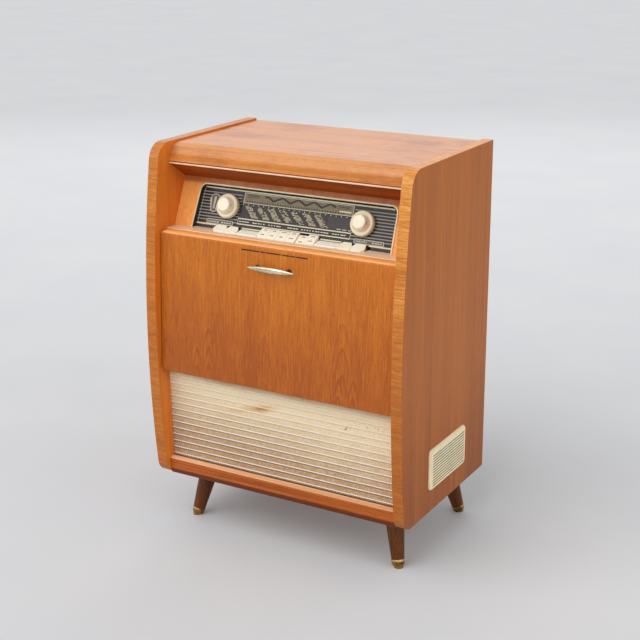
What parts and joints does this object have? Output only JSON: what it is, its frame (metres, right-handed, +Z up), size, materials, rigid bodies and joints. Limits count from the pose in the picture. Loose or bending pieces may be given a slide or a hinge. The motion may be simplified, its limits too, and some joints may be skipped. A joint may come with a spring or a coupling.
{
  "type": "gramophone cabinet",
  "caption": "Radio and record player cabinet with bowed side panels, leaning dial, press keys, drop-down flap, loudspeaker cloth and splayed legs.",
  "frame": {"origin": "centre of the outline on the floor, under the feet", "axes": "+Z up, the front faces -Y, +X to the right of someone who looks at the front"},
  "size_m": [0.57, 0.377, 0.788],
  "materials": {
    "wood_side": "satin lacquered, straight grain",
    "wood_golden": "satin lacquered, straight grain",
    "wood_plain": "plain, sanded",
    "wood_dark": "satin, dark stained",
    "board": "pressed board, matt",
    "cloth": "woven with raised cords",
    "cream_plastic": "glossy",
    "brass": "polished, slightly worn",
    "bright_metal": "pale, polished",
    "steel": "plated",
    "inlay": "dark line",
    "dial_glass": "printed on the back, opaque dark ground",
    "valve_glass": "clear",
    "dark_metal": "matt",
    "dark_plastic": "matt",
    "speaker_metal": "matt",
    "deck_plastic": "glossy",
    "platter_metal": "satin",
    "soft_rubber": "matt",
    "pointer_red": "satin"
  },
  "bodies": {
    "cabinet": {"side_panel_left": "wood_side", "side_panel_right": "wood_side", "top_panel": "wood_golden", "lip_trim": "cream_plastic", "recess_ceiling": "wood_dark", "dial_fascia": "wood_golden", "sill_board": "wood_golden", "radio_shelf": "wood_plain", "motor_board": "wood_plain", "shelf_rails": "wood_plain", "compartment_floor": "wood_plain", "bottom_board": "wood_side", "bottom_rail": "wood_golden", "speaker_baffle": "board", "speaker_cloth": "cloth", "back_panel": "board", "back_screws": "brass", "legs": "wood_dark", "leg_fittings": "brass", "side_grilles": "cream_plastic", "flap_bearings": "brass", "flap_catch": "steel", "dial_bezel": "cream_plastic", "dial_glass": "dial_glass", "control_frame": "steel", "radio_chassis": "steel", "valves": "valve_glass", "chassis_components": "dark_metal", "mains_inlet": "dark_plastic", "woofer": "speaker_metal", "side_speakers": "speaker_metal", "deck_plate": "deck_plastic", "deck_mounts": "soft_rubber", "deck_motor": "steel"},
    "flap": {"flap_door": "wood_golden", "flap_inlay": "inlay", "flap_handle": "bright_metal", "flap_fittings": "brass"},
    "flap_stays": {"stay_rods": "steel"},
    "stay_guides": {"stay_swivels": "brass"},
    "volume_control": {"volume_knob": "cream_plastic"},
    "bass_control": {"bass_knob": "cream_plastic"},
    "tuning_control": {"tuning_knob": "cream_plastic"},
    "treble_control": {"treble_knob": "cream_plastic"},
    "pointer": {"dial_pointer": "pointer_red"},
    "turntable": {"platter": "platter_metal", "platter_mat": "soft_rubber"},
    "arm_turret": {"tonearm_base": "deck_plastic"},
    "pickup_arm": {"tonearm": "cream_plastic"},
    "speed_selector": {"speed_knob": "cream_plastic"},
    "band_key_1_body": {"band_key_1": "cream_plastic"},
    "band_key_2_body": {"band_key_2": "cream_plastic"},
    "band_key_3_body": {"band_key_3": "cream_plastic"},
    "band_key_4_body": {"band_key_4": "cream_plastic"},
    "band_key_5_body": {"band_key_5": "cream_plastic"},
    "band_key_6_body": {"band_key_6": "cream_plastic"},
    "tone_key_left_outer_body": {"tone_key_left_outer": "cream_plastic"},
    "tone_key_left_inner_body": {"tone_key_left_inner": "cream_plastic"},
    "tone_key_right_inner_body": {"tone_key_right_inner": "cream_plastic"},
    "tone_key_right_outer_body": {"tone_key_right_outer": "cream_plastic"}
  },
  "joints": [
    {"name": "flap_hinge", "type": "hinge", "parent": "cabinet", "child": "flap", "pos_m": [0, -0.16731, 0.35143], "axis": [1, 0, 0], "range_deg": [0, 93.16]},
    {"name": "stay_pivot", "type": "hinge", "parent": "flap", "child": "flap_stays", "pos_m": [0, -0.1428, 0.4689], "axis": [1, 0, 0], "range_deg": [-46.6, 0]},
    {"name": "stay_guide_pivot", "type": "hinge", "parent": "cabinet", "child": "stay_guides", "pos_m": [0, -0.08246, 0.43628], "axis": [1, 0, 0], "range_deg": [0, 46.6]},
    {"name": "volume_turn", "type": "hinge", "parent": "cabinet", "child": "volume_control", "pos_m": [-0.147, -0.09358, 0.66822], "axis": [0, 0.9118, -0.4107], "range_deg": [0, 290]},
    {"name": "bass_turn", "type": "hinge", "parent": "cabinet", "child": "bass_control", "pos_m": [-0.147, -0.09358, 0.66822], "axis": [0, 0.9118, -0.4107], "range_deg": [-145, 145]},
    {"name": "tuning_turn", "type": "hinge", "parent": "cabinet", "child": "tuning_control", "pos_m": [0.147, -0.09358, 0.66822], "axis": [0, 0.9118, -0.4107], "range_deg": [-716.2, 487]},
    {"name": "treble_turn", "type": "hinge", "parent": "cabinet", "child": "treble_control", "pos_m": [0.147, -0.09358, 0.66822], "axis": [0, 0.9118, -0.4107], "range_deg": [-145, 145]},
    {"name": "pointer_slide", "type": "slide", "parent": "cabinet", "child": "pointer", "axis": [1, 0, 0], "range_m": [-0.126, 0.086]},
    {"name": "band_key_1_press", "type": "hinge", "parent": "cabinet", "child": "band_key_1_body", "pos_m": [0, -0.045, 0.62], "axis": [1, 0, 0], "range_deg": [0, 3.2]},
    {"name": "band_key_2_press", "type": "hinge", "parent": "cabinet", "child": "band_key_2_body", "pos_m": [0, -0.045, 0.62], "axis": [1, 0, 0], "range_deg": [0, 3.2]},
    {"name": "band_key_3_press", "type": "hinge", "parent": "cabinet", "child": "band_key_3_body", "pos_m": [0, -0.045, 0.62], "axis": [1, 0, 0], "range_deg": [0, 3.2]},
    {"name": "band_key_4_press", "type": "hinge", "parent": "cabinet", "child": "band_key_4_body", "pos_m": [0, -0.045, 0.62], "axis": [1, 0, 0], "range_deg": [0, 3.2]},
    {"name": "band_key_5_press", "type": "hinge", "parent": "cabinet", "child": "band_key_5_body", "pos_m": [0, -0.045, 0.62], "axis": [1, 0, 0], "range_deg": [-3.2, 0]},
    {"name": "band_key_6_press", "type": "hinge", "parent": "cabinet", "child": "band_key_6_body", "pos_m": [0, -0.045, 0.62], "axis": [1, 0, 0], "range_deg": [0, 3.2]},
    {"name": "tone_key_left_outer_press", "type": "hinge", "parent": "cabinet", "child": "tone_key_left_outer_body", "pos_m": [0, -0.045, 0.62], "axis": [1, 0, 0], "range_deg": [0, 3.2]},
    {"name": "tone_key_left_inner_press", "type": "hinge", "parent": "cabinet", "child": "tone_key_left_inner_body", "pos_m": [0, -0.045, 0.62], "axis": [1, 0, 0], "range_deg": [0, 3.2]},
    {"name": "tone_key_right_inner_press", "type": "hinge", "parent": "cabinet", "child": "tone_key_right_inner_body", "pos_m": [0, -0.045, 0.62], "axis": [1, 0, 0], "range_deg": [0, 3.2]},
    {"name": "tone_key_right_outer_press", "type": "hinge", "parent": "cabinet", "child": "tone_key_right_outer_body", "pos_m": [0, -0.045, 0.62], "axis": [1, 0, 0], "range_deg": [0, 3.2]},
    {"name": "platter_spin", "type": "hinge", "parent": "cabinet", "child": "turntable", "pos_m": [-0.045, 0.008, 0.441], "axis": [0, 0, 1], "continuous": true},
    {"name": "arm_swivel", "type": "hinge", "parent": "cabinet", "child": "arm_turret", "pos_m": [0.125, 0.078, 0.434], "axis": [0, 0, -1], "range_deg": [0, 50]},
    {"name": "arm_lift", "type": "hinge", "parent": "arm_turret", "child": "pickup_arm", "pos_m": [0.125, 0.078, 0.467], "axis": [-1, 0, 0], "range_deg": [0, 15]},
    {"name": "speed_turn", "type": "hinge", "parent": "cabinet", "child": "speed_selector", "pos_m": [-0.14, -0.1, 0.434], "axis": [0, 0, 1], "range_deg": [-90, 90]}
  ],
  "couplings": [
    {"joint": "stay_pivot", "follows": "flap_hinge", "ratio": -0.5},
    {"joint": "stay_guide_pivot", "follows": "flap_hinge", "ratio": 0.5},
    {"joint": "pointer_slide", "follows": "tuning_turn", "m_per_rad": 0.01}
  ]
}
